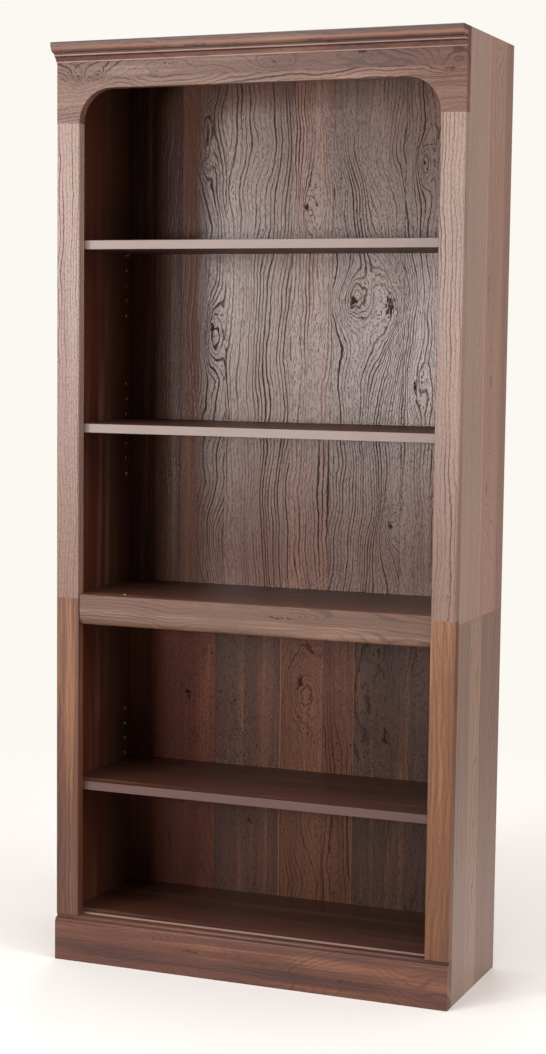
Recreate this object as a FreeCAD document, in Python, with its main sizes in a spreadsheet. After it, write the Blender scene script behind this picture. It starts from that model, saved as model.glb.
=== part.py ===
import FreeCAD, Part

import os

import Sketcher

# A tall five-bay bookcase that comes flat-packed: side panels in two lengths, a moulded front frame
# with an arched header, three shelves on pins, and the fittings that hold it together.
# Millimetres; +Z up, front towards -Y, +X to the right as seen from the front.
# The origin is the middle of the footprint, on the floor.

DRIVING_SIZES = {
    # the whole case
    "overall_width": 848,
    "overall_depth": 350,
    "overall_height": 1866,
    "side_thickness": 18,
    "panel_thickness": 18,
    "back_thickness": 3,
    "back_margin": 2,
    "back_floor_gap": 60,
    # front frame
    "frame_thickness": 22,
    "stile_width": 49.5,
    "stile_round": 2,
    "header_height": 89.5,
    "arch_radius": 67.5,
    "crown_height": 38,
    "crown_projection": 30,
    "base_height": 95,
    "base_projection": 6.5,
    # fixed shelf, its rail, and the joint between the two lengths of side panel
    "fixed_shelf_top": 763,
    "side_joint_drop": 14,
    "stile_joint_drop": 6,
    "rail_lip": 2,
    "rail_height": 62,
    "rail_thickness": 18,
    "rail_recess": 4,
    "rail_end_gap": 0.5,
    "moulded_edge": 12,
    "bottom_top": 97,
    "bottom_setback": 6,
    # shelves on pins
    "shelf_thickness": 18,
    "shelf_setback": 2,
    "shelf_back_gap": 2,
    "shelf_end_gap": 1,
    "shelf_round": 1,
    "hole_pitch": 32,
    "hole_depth": 10,
    "hole_clearance": 0.1,
    "front_hole_inset": 37,
    "rear_hole_inset": 30,
    "upper_holes_drop": 407,
    "middle_holes_rise": 232,
    "lower_holes_rise": 257,
    "pin_radius": 2.5,
    "pin_collar_radius": 4,
    "pin_collar_length": 1,
    "pin_stem": 9,
    "pin_reach": 10,
    "pin_flat": 2.3,
    "pin_shelf_gap": 0.3,
    # cam fittings
    "cam_radius": 7.5,
    "cam_depth": 12.5,
    "cam_distance": 34,
    "cam_inset": 50,
    "bolt_radius": 3,
    "bolt_head_radius": 3.4,
    "bolt_head_length": 3,
    "bolt_thread_radius": 2.5,
    "bolt_thread_length": 11,
    "fit_clearance": 0.15,
    # dowels, screws and nails
    "dowel_radius": 4,
    "dowel_length": 30,
    "frame_dowel_radius": 3,
    "frame_dowel_length": 24,
    "screw_radius": 2,
    "screw_length": 31,
    "screw_head_radius": 4,
    "screw_head_length": 3,
    "screw_drop": 20,
    "nail_radius": 0.8,
    "nail_length": 18,
    "nail_head_radius": 2,
    "nail_head_length": 0.8,
    "cap_radius": 2,
    "cap_head": 0.6,
    "cap_stem_radius": 1.25,
    "cap_stem": 4,
    "cap_inset": 111,
    "cap_setback": 30,
}

# holes in each group of one column, and which of them, from the lowest, holds the pin
UPPER_HOLES = (5, 4)
MIDDLE_HOLES = (7, 3)
LOWER_HOLES = (5, 0)

doc = FreeCAD.newDocument("bookcase")
sheet = doc.addObject("Spreadsheet::Sheet", "sizes")


class Size:
    """A number together with the spreadsheet expression that gives it."""

    def __init__(self, value, text):
        self.value = float(value)
        self.text = text

    @staticmethod
    def of(other):
        if isinstance(other, Size):
            return other
        return Size(other, "(" + repr(float(other)) + ")")

    def combine(self, other, sign, value):
        return Size(value, "(" + self.text + " " + sign + " " + other.text + ")")

    def __add__(self, other):
        other = Size.of(other)
        return self.combine(other, "+", self.value + other.value)

    def __sub__(self, other):
        other = Size.of(other)
        return self.combine(other, "-", self.value - other.value)

    def __mul__(self, other):
        other = Size.of(other)
        return self.combine(other, "*", self.value * other.value)

    def __truediv__(self, other):
        other = Size.of(other)
        return self.combine(other, "/", self.value / other.value)

    def __radd__(self, other):
        return Size.of(other) + self

    def __rsub__(self, other):
        return Size.of(other) - self

    def __rmul__(self, other):
        return Size.of(other) * self

    def __neg__(self):
        return Size.of(0) - self


for row, (name, number) in enumerate(DRIVING_SIZES.items(), start=1):
    sheet.set("A%d" % row, name)
    sheet.set("B%d" % row, str(number))
    sheet.setAlias("B%d" % row, name)
doc.recompute()


def size(name):
    return Size(sheet.get(name), "sizes." + name)


# ---------------------------------------------------------------- planes that the pieces share

half_width = size("overall_width") / 2
inner_side = half_width - size("side_thickness")
stile_inner = half_width - size("stile_width")
rear = size("overall_depth") / 2
carcass_rear = rear - size("back_thickness")
frame_front = size("crown_projection") - rear
carcass_front = frame_front + size("frame_thickness")
crown_bottom = size("overall_height") - size("crown_height")
opening_top = size("overall_height") - size("header_height")
header_bottom = opening_top - size("arch_radius")
top_underside = size("overall_height") - size("panel_thickness")
fixed_top = size("fixed_shelf_top")
fixed_underside = fixed_top - size("panel_thickness")
fixed_middle = fixed_top - size("panel_thickness") / 2
rail_top = fixed_top + size("rail_lip")
rail_back = frame_front + size("rail_recess") + size("rail_thickness")
side_joint = fixed_top - size("side_joint_drop")
stile_joint = fixed_top - size("stile_joint_drop")
bottom_top = size("bottom_top")
bottom_front = carcass_front + size("bottom_setback")
bottom_middle = bottom_top - size("panel_thickness") / 2
shelf_front = carcass_front + size("shelf_setback")
shelf_rear = carcass_rear - size("shelf_back_gap")
front_holes = carcass_front + size("front_hole_inset")
rear_holes = carcass_rear - size("rear_hole_inset")


# ---------------------------------------------------------------- makers

def bind(thing, prop, amount):
    """Tie one property of an object to its spreadsheet expression."""
    thing.setExpression(prop, Size.of(amount).text)


def move(thing, x, y, z):
    bind(thing, "Placement.Base.x", x)
    bind(thing, "Placement.Base.y", y)
    bind(thing, "Placement.Base.z", z)


def block(label, low, high):
    """A board with square edges between two corners."""
    box = doc.addObject("Part::Box", label)
    for prop, start, end in zip(("Length", "Width", "Height"), low, high):
        bind(box, prop, Size.of(end) - start)
    move(box, *low)
    return box


TURNS = {
    "+X": FreeCAD.Rotation(FreeCAD.Vector(0, 1, 0), 90),
    "-X": FreeCAD.Rotation(FreeCAD.Vector(0, 1, 0), -90),
    "+Y": FreeCAD.Rotation(FreeCAD.Vector(1, 0, 0), -90),
    "-Y": FreeCAD.Rotation(FreeCAD.Vector(1, 0, 0), 90),
    "+Z": FreeCAD.Rotation(),
    "-Z": FreeCAD.Rotation(FreeCAD.Vector(1, 0, 0), 180),
}


def rod(label, start, direction, radius, length):
    """A cylinder from a starting point along one of the six directions."""
    cylinder = doc.addObject("Part::Cylinder", label)
    cylinder.Placement = FreeCAD.Placement(FreeCAD.Vector(), TURNS[direction])
    bind(cylinder, "Radius", radius)
    bind(cylinder, "Height", length)
    move(cylinder, *start)
    return cylinder


def step(point, direction, distance):
    """The point that lies a distance away along one of the six directions."""
    axis = "XYZ".index(direction[1])
    moved = list(point)
    sign = 1 if direction[0] == "+" else -1
    moved[axis] = Size.of(moved[axis]) + Size.of(distance) * sign
    return tuple(moved)


def group(label, members):
    together = doc.addObject("Part::Compound", label)
    together.Links = members
    return together


def cut(label, solid, tools):
    """A solid with every tool taken out of it."""
    result = doc.addObject("Part::Cut", label)
    result.Base = solid
    result.Tool = tools[0] if len(tools) == 1 else group(label + "_drillings", tools)
    return result


def fuse(label, members):
    result = doc.addObject("Part::MultiFuse", label)
    result.Shapes = members
    return result


def rounded(label, board, radius, wanted):
    """Round the edges of a board whose middle passes the test."""
    doc.recompute()
    edges = [number for number, edge in enumerate(board.Shape.Edges, start=1)
             if wanted(edge.CenterOfMass, edge)]
    result = doc.addObject("Part::Fillet", label)
    result.Base = board
    result.Edges = [(number, radius.value, radius.value) for number in edges]
    return result


def plane_of(body, role):
    return next(feature for feature in body.Origin.OriginFeatures if feature.Role == role)


def sketch_on(body, role):
    sketch = body.newObject("Sketcher::SketchObject", body.Name + "_outline")
    sketch.AttachmentSupport = [(plane_of(body, role), "")]
    sketch.MapMode = "FlatFace"
    return sketch


def fix_point(sketch, geometry, end, across, up):
    """Hold one end of a line or arc at a place given by two sizes."""
    for kind, axis, amount in (("DistanceX", -2, across), ("DistanceY", -1, up)):
        amount = Size.of(amount)
        if abs(amount.value) < 1e-9:
            sketch.addConstraint(Sketcher.Constraint("PointOnObject", geometry, end, axis))
            continue
        place = sketch.addConstraint(
            Sketcher.Constraint(kind, -1, 1, geometry, end, amount.value))
        sketch.setExpression("Constraints[%d]" % place, amount.text)


def outline(sketch, corners):
    """A closed outline. Each corner is (across, up) or (across, up, radius, bulge).

    A corner with a radius is reached from the one before by an arc; bulge is +1 for an arc that
    turns anticlockwise and -1 for one that turns clockwise.
    """
    made = []
    for number, corner in enumerate(corners):
        before = corners[number - 1]
        start = FreeCAD.Vector(Size.of(before[0]).value, Size.of(before[1]).value, 0)
        end = FreeCAD.Vector(Size.of(corner[0]).value, Size.of(corner[1]).value, 0)
        if len(corner) == 2:
            index = sketch.addGeometry(Part.LineSegment(start, end), False)
            made.append((index, 1, 2))
            continue
        radius, bulge = Size.of(corner[2]), corner[3]
        chord = end - start
        middle = (start + end) * 0.5
        reach = (max(radius.value ** 2 - (chord.Length / 2) ** 2, 0)) ** 0.5
        normal = FreeCAD.Vector(-chord.y, chord.x, 0).normalize()
        centre = middle + normal * (reach * bulge)
        circle = Part.Circle(centre, FreeCAD.Vector(0, 0, 1), radius.value)
        first, last = (start, end) if bulge > 0 else (end, start)
        arc = Part.ArcOfCircle(circle, circle.parameter(first), circle.parameter(last))
        index = sketch.addGeometry(arc, False)
        made.append((index, 1, 2) if bulge > 0 else (index, 2, 1))
        bound = sketch.addConstraint(Sketcher.Constraint("Radius", index, radius.value))
        sketch.setExpression("Constraints[%d]" % bound, radius.text)
    for number, (index, first, last) in enumerate(made):
        following = made[(number + 1) % len(made)]
        sketch.addConstraint(Sketcher.Constraint("Coincident", index, last, following[0], following[1]))
        fix_point(sketch, index, last, corners[number][0], corners[number][1])


def mirrored(corners):
    """The same outline facing the other way, still anticlockwise."""
    following = corners[1:] + corners[:1]
    flipped = [(-Size.of(corner[0]), corner[1]) + tuple(after[2:])
               for corner, after in zip(corners, following)]
    return flipped[::-1]


def extruded(label, role, corners, length):
    """A body of one profile pushed out to a length."""
    body = doc.addObject("PartDesign::Body", label)
    sketch = sketch_on(body, role)
    outline(sketch, corners)
    doc.recompute()
    pad = body.newObject("PartDesign::Pad", label + "_pad")
    pad.Profile = sketch
    bind(pad, "Length", length)
    doc.recompute()
    return body


# ---------------------------------------------------------------- boards of the carcass

sub_parts = []


def keep(piece, label):
    """Give a finished sub-part its own name."""
    piece.Label = label
    sub_parts.append(piece)
    return piece


SIDES = {"left": (-1, "+X", "-X"), "right": (1, "-X", "+X")}


def hole_heights(first, count):
    return [first + size("hole_pitch") * number for number in range(count)]


upper_first = size("overall_height") - size("upper_holes_drop") - size("hole_pitch") * UPPER_HOLES[1]
middle_first = fixed_top + size("middle_holes_rise")
lower_first = bottom_top + size("lower_holes_rise")
hole_groups = {
    "upper": hole_heights(upper_first, UPPER_HOLES[0]),
    "middle": hole_heights(middle_first, MIDDLE_HOLES[0]),
    "lower": hole_heights(lower_first, LOWER_HOLES[0]),
}
pin_heights = {
    "upper": hole_groups["upper"][UPPER_HOLES[1]],
    "middle": hole_groups["middle"][MIDDLE_HOLES[1]],
    "lower": hole_groups["lower"][LOWER_HOLES[1]],
}

# depth places of the cam fittings in the panel ends, and of the dowels in the side joint
cam_places = (carcass_front + size("cam_inset"), carcass_rear - size("cam_inset"))
side_dowel_places = (carcass_front + size("cam_inset") * 0.6,
                     (carcass_front + carcass_rear) / 2,
                     carcass_rear - size("cam_inset") * 0.6)
# height of the bolt line of each fixed panel
panel_middles = {
    "top": top_underside + size("panel_thickness") / 2,
    "fixed": fixed_middle,
    "bottom": bottom_middle,
}
# places across the width of the fittings that hold the header, the rail and the base board
front_cam_places = (-inner_side * 0.7266, Size.of(0), inner_side * 0.7266)


def side_drillings(side, part, heights, bolt_lines):
    """Pin holes and bolt holes, all bored from the inner face."""
    sign, inward, outward = SIDES[side]
    face = inner_side * sign
    tools = []
    for number, height in enumerate(heights):
        for column, depth in (("front", front_holes), ("rear", rear_holes)):
            name = "_".join((side, part, column, "hole", str(number)))
            tools.append(rod(name, (face, depth, height), outward,
                             size("pin_radius") + size("hole_clearance"), size("hole_depth")))
    for line, height in enumerate(bolt_lines):
        for number, depth in enumerate(cam_places):
            name = "_".join((side, part, "bolt_hole", str(line), str(number)))
            tools.append(rod(name, (face, depth, height), outward,
                             size("bolt_thread_radius") + size("fit_clearance"),
                             size("bolt_thread_length") + 1))
    return tools


# ---------------------------------------------------------------- nails, driven with no clearance

def spread(low, high, count):
    """Evenly spaced heights between two ends, kept clear of the ends."""
    span = high - low
    return [low + span * ((number + 0.5) / count) for number in range(count)]


def nail(label, across, height):
    head = rod(label + "_head", (across, rear, height), "-Y", size("nail_head_radius"),
               size("nail_head_length"))
    shank = rod(label + "_shank", (across, rear, height), "-Y", size("nail_radius"),
                size("nail_length"))
    return fuse(label, [head, shank])


def back_nails():
    """Nails round both back sheets, into the sides and into the three fixed panels."""
    nails = []
    edge = inner_side + size("side_thickness") / 2
    quarter = size("panel_thickness") / 4
    side_rows = {
        "upper": spread(fixed_middle, size("overall_height"), 7),
        "lower": spread(size("back_floor_gap"), fixed_middle, 5),
    }
    for part, heights in side_rows.items():
        for number, height in enumerate(heights):
            for sign in (-1, 1):
                label = "_".join(("nail", part, str(number), "left" if sign < 0 else "right"))
                nails.append(nail(label, edge * sign, height + 6))
    panel_rows = {
        "top": panel_middles["top"],
        "above_joint": fixed_middle + quarter,
        "below_joint": fixed_middle - quarter,
        "bottom": bottom_middle,
    }
    for row_name, height in panel_rows.items():
        for number in range(5):
            across = inner_side * (0.9 * (number - 2) / 2 + (0.04 if row_name == "below_joint" else 0))
            nails.append(nail("_".join(("nail", row_name, str(number))), across, height))
    return keep(group("back_nail_set", nails), "back_nails")


nails = back_nails()


# ---------------------------------------------------------------- drillings in the side panels

def joint_drillings(side, part, direction):
    """Dowel holes in the end of a side panel that meets the other length."""
    sign = SIDES[side][0]
    tools = []
    for number, depth in enumerate(side_dowel_places):
        name = "_".join((side, part, "joint_hole", str(number)))
        start = ((inner_side + size("side_thickness") / 2) * sign, depth, side_joint)
        tools.append(rod(name, start, direction, size("dowel_radius") + size("fit_clearance"),
                         size("dowel_length") / 2 + 1))
    return tools


frame_dowels = {
    "upper": spread(stile_joint, header_bottom, 4),
    "lower": spread(size("base_height"), stile_joint, 3),
}


def frame_drillings(side, part, depth_direction):
    """Holes for the dowels that hold a stile on the front edge of a side panel."""
    sign = SIDES[side][0]
    tools = []
    for number, height in enumerate(frame_dowels[part]):
        name = "_".join((side, part, "frame_hole", depth_direction[0].replace("+", "p").replace("-", "m"),
                         str(number)))
        start = ((inner_side + size("side_thickness") / 2) * sign, carcass_front, height)
        tools.append(rod(name, start, depth_direction,
                         size("frame_dowel_radius") + size("fit_clearance"),
                         size("frame_dowel_length") / 2 + 1))
    return tools


def side_panel(side, part):
    sign = SIDES[side][0]
    near, far = (-half_width, -inner_side) if sign < 0 else (inner_side, half_width)
    if part == "upper":
        low, high = side_joint, size("overall_height")
        heights = hole_groups["upper"] + hole_groups["middle"]
        lines = (panel_middles["top"], panel_middles["fixed"])
        joint_direction = "+Z"
    else:
        low, high = Size.of(0), side_joint
        heights = hole_groups["lower"]
        lines = (panel_middles["bottom"],)
        joint_direction = "-Z"
    name = side + "_side_" + part
    board = block(name + "_board", (near, carcass_front, low), (far, carcass_rear, high))
    tools = (side_drillings(side, part, heights, lines)
             + joint_drillings(side, part, joint_direction)
             + frame_drillings(side, part, "+Y")
             + [nails])
    return keep(cut(name + "_bored", board, tools), name)


for side in SIDES:
    for part in ("upper", "lower"):
        side_panel(side, part)


# ---------------------------------------------------------------- fixed panels and their cam bores

def end_cam_bores(name, underside, middle):
    """Cam pockets bored up from the underside, and the bolt ways into them from both ends."""
    tools = []
    for side, (sign, inward, outward) in SIDES.items():
        for number, depth in enumerate(cam_places):
            label = "_".join((name, side, str(number)))
            centre = (inner_side * sign - size("cam_distance") * sign, depth, underside)
            tools.append(rod(label + "_pocket", centre, "+Z", size("cam_radius") + size("fit_clearance"),
                             size("cam_depth") + 0.5))
            mouth = (inner_side * sign + Size.of(sign), depth, middle)
            tools.append(rod(label + "_way", mouth, inward,
                             size("bolt_head_radius") + size("fit_clearance"),
                             size("cam_distance") + 1))
    return tools


def front_cam_bores(name, edge, pocket_face, pocket_direction, middle):
    """Cam pockets behind the front edge, with the bolt ways open to the front."""
    tools = []
    for number, across in enumerate(front_cam_places):
        label = "_".join((name, "front", str(number)))
        centre = (across, edge + size("cam_distance"), pocket_face)
        tools.append(rod(label + "_pocket", centre, pocket_direction,
                         size("cam_radius") + size("fit_clearance"), size("cam_depth") + 0.5))
        mouth = (across, edge - 1, middle)
        tools.append(rod(label + "_way", mouth, "+Y",
                         size("bolt_head_radius") + size("fit_clearance"), size("cam_distance") + 1))
    return tools


def fixed_panel(label, front, top, end_name, front_face, front_direction, extra=()):
    underside = top - size("panel_thickness")
    middle = underside + size("panel_thickness") / 2
    board = block(label + "_board", (-inner_side, front, underside), (inner_side, carcass_rear, top))
    tools = end_cam_bores(end_name, underside, middle)
    tools += front_cam_bores(end_name, front, front_face, front_direction, middle)
    tools += list(extra) + [nails]
    return keep(cut(label + "_bored", board, tools), label)


fixed_panel("top_panel", carcass_front, size("overall_height"), "top", top_underside, "+Z")
cap_place = (size("cap_inset") - inner_side, carcass_front + size("cap_setback"), fixed_top)
cap_hole = rod("cap_hole", cap_place, "-Z", size("cap_stem_radius") + size("hole_clearance"),
               size("cap_stem") + 1)
fixed_panel("fixed_shelf", carcass_front, fixed_top, "fixed", fixed_underside, "+Z", [cap_hole])
fixed_panel("bottom_panel", bottom_front, bottom_top, "bottom",
            bottom_top - size("panel_thickness"), "+Z")


# ---------------------------------------------------------------- front frame

def front_bolt_holes(name, height, depth):
    """Holes in the back of a frame piece for the threads of the cam bolts."""
    return [rod("_".join((name, "bolt_hole", str(number))), (across, depth, height), "-Y",
                size("bolt_thread_radius") + size("fit_clearance"), size("bolt_thread_length") + 1)
            for number, across in enumerate(front_cam_places)]


def stile(side, part):
    """An upright of the front frame; both its front arrises are rounded."""
    sign = SIDES[side][0]
    name = side + "_stile_" + part
    low, high = (stile_joint, header_bottom) if part == "upper" else (size("base_height"), stile_joint)
    wide, deep, round_over = size("stile_width"), size("frame_thickness"), size("stile_round")
    corners = [
        (0, round_over),
        (round_over, 0, round_over, 1),
        (wide - round_over, 0),
        (wide, round_over, round_over, 1),
        (wide, deep),
        (0, deep),
    ]
    body = extruded(name + "_body", "XY_Plane", corners, high - low)
    move(body, -half_width if sign < 0 else stile_inner, frame_front, low)
    return keep(cut(name + "_bored", body, frame_drillings(side, part, "-Y")), name)


for side in SIDES:
    for part in ("upper", "lower"):
        stile(side, part)


def header_board():
    """The board over the opening, whose two lower corners sweep down to the stiles."""
    reach = size("overall_width")
    inner, radius = size("stile_width"), size("arch_radius")
    tall = size("header_height") + radius
    corners = [
        (0, 0),
        (inner, 0),
        (inner + radius, radius, radius, -1),
        (reach - inner - radius, radius),
        (reach - inner, 0, radius, -1),
        (reach, 0),
        (reach, tall),
        (0, tall),
    ]
    body = extruded("header_board_body", "XZ_Plane", corners, size("frame_thickness"))
    move(body, -half_width, carcass_front, header_bottom)
    front = frame_front.value + 0.01
    eased = rounded("header_board_eased", body, size("stile_round") * 0.5,
                    lambda middle, edge: middle.y < front and header_bottom.value + 1 < middle.z
                    < opening_top.value + 1 and abs(middle.x) < stile_inner.value)
    tools = front_bolt_holes("header", panel_middles["top"], carcass_front)
    tools += screw_holes("header")
    return keep(cut("header_board_bored", eased, tools), "header_board")


screw_height = size("overall_height") - size("screw_drop")
screw_places = [half_width * share for share in (-0.86, -0.3, 0.3, 0.86)]


def screw_holes(name):
    """Countersunk holes through the header for the screws that hold the crown."""
    tools = []
    for number, across in enumerate(screw_places):
        start = (across, carcass_front, screw_height)
        tools.append(rod("_".join((name, "screw_hole", str(number))), start, "-Y",
                         size("screw_radius") + size("fit_clearance"), size("screw_length") + 1))
        tools.append(rod("_".join((name, "screw_seat", str(number))), start, "-Y",
                         size("screw_head_radius") + size("fit_clearance"), size("screw_head_length")))
    return tools


def crown_moulding():
    """Crown profile from the top: rounded lip, fascia, torus, fillet, cove and foot fillet."""
    tall, deep = size("crown_height"), size("crown_projection")
    lip = size("crown_height") * 0.07
    corners = [
        (0, 0),
        (3, 0),
        (3, tall * 0.07),
        (4.5, tall * 0.07),
        (13, tall * 0.32, tall * 0.42, -1),
        (13, tall * 0.40),
        (15.5, tall * 0.40),
        (15.5, tall * 0.46),
        (19, tall * 0.46),
        (deep - 1, tall * 0.72, tall * 0.40, 1),
        (deep - 1, tall * 0.76),
        (deep, tall * 0.76),
        (deep, tall - lip),
        (deep - lip, tall, lip, 1),
        (0, tall),
    ]
    body = extruded("crown_moulding_body", "YZ_Plane", mirrored(corners), size("overall_width"))
    move(body, -half_width, frame_front, crown_bottom)
    return keep(cut("crown_moulding_bored", body, screw_holes("crown")), "crown_moulding")


header_board()
crown_moulding()


def fixed_shelf_rail():
    """The rail in front of the fixed shelf, with an ovolo under a small quirk."""
    tall, deep, edge = size("rail_height"), size("rail_thickness"), size("moulded_edge")
    quirk, arris = 2, 1
    corners = [
        (0, 0),
        (deep - quirk - edge * 0.8, 0),
        (deep - quirk, edge * 0.8, edge * 0.8, 1),
        (deep - quirk, edge),
        (deep, edge),
        (deep, tall - arris),
        (deep - arris, tall, arris, 1),
        (0, tall),
    ]
    length = (stile_inner - size("rail_end_gap")) * 2
    body = extruded("fixed_shelf_rail_body", "YZ_Plane", mirrored(corners), length)
    move(body, size("rail_end_gap") - stile_inner, rail_back, rail_top - size("rail_height"))
    tools = front_bolt_holes("rail", panel_middles["fixed"], rail_back)
    return keep(cut("fixed_shelf_rail_bored", body, tools), "fixed_shelf_rail")


def base_board():
    """The plinth board, with two beads stepping back to its top."""
    tall = size("base_height")
    deep = size("frame_thickness") + size("base_projection")
    bead = 4
    corners = [
        (0, 0),
        (deep - 1, 0),
        (deep, 1, 1, 1),
        (deep, tall - bead * 3.5),
        (deep - bead * 0.5, tall - bead * 3),
        (deep - bead * 0.5, tall - bead * 2.75),
        (deep - bead * 1.5, tall - bead * 1.75, bead, 1),
        (deep - bead * 2.5, tall - bead * 1.75),
        (deep - bead * 2.5, tall - bead * 1.25),
        (deep - bead * 3.75, tall, bead * 1.25, 1),
        (0, tall),
    ]
    body = extruded("base_board_body", "YZ_Plane", mirrored(corners), size("overall_width"))
    move(body, -half_width, carcass_front, 0)
    tools = front_bolt_holes("base", bottom_middle, carcass_front)
    return keep(cut("base_board_bored", body, tools), "base_board")


fixed_shelf_rail()
base_board()


# ---------------------------------------------------------------- backs and shelves

def back_sheet(part, low, high):
    half = half_width - size("back_margin")
    name = "back_panel_" + part
    sheet_board = block(name + "_sheet", (-half, carcass_rear, low), (half, rear, high))
    return keep(cut(name + "_nailed", sheet_board, [nails]), name)


back_joint_gap = 0.5
back_sheet("upper", fixed_middle, size("overall_height") - size("back_margin"))
back_sheet("lower", size("back_floor_gap"), fixed_middle - back_joint_gap)


def adjustable_shelf(level):
    """A loose board with eased front edges, lying on the flats of four pins."""
    half = inner_side - size("shelf_end_gap")
    low = pin_heights[level] + size("pin_flat") + size("pin_shelf_gap")
    name = "adjustable_shelf_" + level
    board = block(name + "_board", (-half, shelf_front, low),
                  (half, shelf_rear, low + size("shelf_thickness")))
    front = shelf_front.value + 0.01
    return keep(rounded(name + "_eased", board, size("shelf_round"),
                        lambda middle, edge: middle.y < front and abs(middle.x) < 1), name)


for level in ("upper", "middle", "lower"):
    adjustable_shelf(level)


def shelf_pin(label, side, depth, height):
    """A steel pin: stem in the hole, thin collar on the panel, and a peg with a flat on top."""
    sign, inward, outward = SIDES[side]
    face = inner_side * sign
    stem = rod(label + "_stem", (face, depth, height), outward, size("pin_radius"), size("pin_stem"))
    collar = rod(label + "_collar", (face, depth, height), inward, size("pin_collar_radius"),
                 size("pin_collar_length"))
    peg = rod(label + "_peg", (face, depth, height), inward, size("pin_radius"), size("pin_reach"))
    body = fuse(label + "_turned", [stem, collar, peg])
    wide = size("pin_collar_radius") + 1
    reach = size("pin_reach") + 1
    near, far = (face, face + reach) if sign < 0 else (face - reach, face)
    flat = block(label + "_flat", (near, depth - wide, height + size("pin_flat")),
                 (far, depth + wide, height + wide))
    return cut(label, body, [flat])


for level in ("upper", "middle", "lower"):
    for side in SIDES:
        name = "_".join(("shelf_pins", level, side))
        pins = [shelf_pin(name + "_" + column, side, depth, pin_heights[level])
                for column, depth in (("front", front_holes), ("rear", rear_holes))]
        keep(group(name + "_set", pins), name)


# ---------------------------------------------------------------- cam fittings

def cam_lock(label, centre, facing, towards):
    """A cam drum: open on the side of its bolt, with a driver slot in its face."""
    drum = rod(label + "_drum", centre, facing, size("cam_radius"), size("cam_depth"))
    axis = list(step(centre, facing, size("panel_thickness") / 2))
    mouth = rod(label + "_mouth", step(axis, towards, -size("bolt_head_length")), towards,
                size("bolt_head_radius") + size("fit_clearance") * 2, size("cam_radius") * 2)
    half, slot = size("cam_radius") * 0.7, 0.9
    bottom = step(centre, facing, -1)
    top = step(centre, facing, 1.5)
    low, high = (bottom[2], top[2]) if facing == "+Z" else (top[2], bottom[2])
    slots = [block(label + "_slot_across", (centre[0] - half, centre[1] - slot, low),
                   (centre[0] + half, centre[1] + slot, high)),
             block(label + "_slot_along", (centre[0] - slot, centre[1] - half, low),
                   (centre[0] + slot, centre[1] + half, high))]
    return cut(label, drum, [mouth, fuse(label + "_slots", slots)])


def cam_bolt(label, face, direction, thread_length, gap):
    """A bolt: thread in the far piece, shank across to the cam, and a head inside it."""
    thread = rod(label + "_thread", face, direction, size("bolt_thread_radius"), thread_length)
    back = {"+": "-", "-": "+"}[direction[0]] + direction[1]
    shank_length = size("cam_distance") + gap - size("bolt_head_length")
    shank = rod(label + "_shank", face, back, size("bolt_radius") * 0.8, shank_length)
    head = rod(label + "_head", step(face, back, shank_length), back, size("bolt_head_radius"),
               size("bolt_head_length"))
    return fuse(label, [thread, shank, head])


def cam_fittings():
    locks, bolts = [], []
    undersides = {
        "top": top_underside,
        "fixed": fixed_underside,
        "bottom": bottom_top - size("panel_thickness"),
    }
    for panel, underside in undersides.items():
        for side, (sign, inward, outward) in SIDES.items():
            for number, depth in enumerate(cam_places):
                name = "_".join((panel, side, str(number)))
                centre = (inner_side * sign - size("cam_distance") * sign, depth, underside)
                locks.append(cam_lock("cam_" + name, centre, "+Z", outward))
                face = (inner_side * sign, depth, panel_middles[panel])
                bolts.append(cam_bolt("bolt_" + name, face, outward, size("bolt_thread_length"), 0))
    fronts = {
        "header": (carcass_front, top_underside, "+Z", panel_middles["top"], carcass_front),
        "rail": (carcass_front, fixed_underside, "+Z", panel_middles["fixed"], rail_back),
        "base": (bottom_front, bottom_top - size("panel_thickness"), "+Z", bottom_middle,
                 carcass_front),
    }
    for name, (edge, pocket_face, facing, middle, piece_back) in fronts.items():
        for number, across in enumerate(front_cam_places):
            label = "_".join((name, str(number)))
            centre = (across, edge + size("cam_distance"), pocket_face)
            locks.append(cam_lock("cam_" + label, centre, facing, "-Y"))
            bolts.append(cam_bolt("bolt_" + label, (across, piece_back, middle), "-Y",
                                  size("bolt_thread_length"), edge - piece_back))
    keep(group("cam_lock_set", locks), "cam_locks")
    keep(group("cam_bolt_set", bolts), "cam_bolts")


cam_fittings()


# ---------------------------------------------------------------- dowels, screws and nails

def dowels():
    joint = []
    for side, (sign, inward, outward) in SIDES.items():
        for number, depth in enumerate(side_dowel_places):
            start = ((inner_side + size("side_thickness") / 2) * sign, depth,
                     side_joint - size("dowel_length") / 2)
            joint.append(rod("_".join((side, "joint_dowel", str(number))), start, "+Z",
                             size("dowel_radius"), size("dowel_length")))
    keep(group("joint_dowel_set", joint), "joint_dowels")
    frame = []
    for side, (sign, inward, outward) in SIDES.items():
        for part, heights in frame_dowels.items():
            for number, height in enumerate(heights):
                start = ((inner_side + size("side_thickness") / 2) * sign,
                         carcass_front - size("frame_dowel_length") / 2, height)
                frame.append(rod("_".join((side, part, "frame_dowel", str(number))), start, "+Y",
                                 size("frame_dowel_radius"), size("frame_dowel_length")))
    keep(group("frame_dowel_set", frame), "frame_dowels")


def crown_screws():
    screws = []
    for number, across in enumerate(screw_places):
        start = (across, carcass_front, screw_height)
        label = "crown_screw_" + str(number)
        shank = rod(label + "_shank", start, "-Y", size("screw_radius"), size("screw_length"))
        head = rod(label + "_head", start, "-Y", size("screw_head_radius"), size("screw_head_length"))
        screws.append(fuse(label, [shank, head]))
    keep(group("crown_screw_set", screws), "crown_screws")


def shelf_cap():
    """A small plug that closes the one open bore in the top of the fixed shelf."""
    head = rod("cap_head", cap_place, "+Z", size("cap_radius"), size("cap_head"))
    stem = rod("cap_stem", cap_place, "-Z", size("cap_stem_radius"), size("cap_stem"))
    keep(fuse("cap_plug", [head, stem]), "shelf_cap")


dowels()
crown_screws()
shelf_cap()


# ---------------------------------------------------------------- check and write

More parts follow.
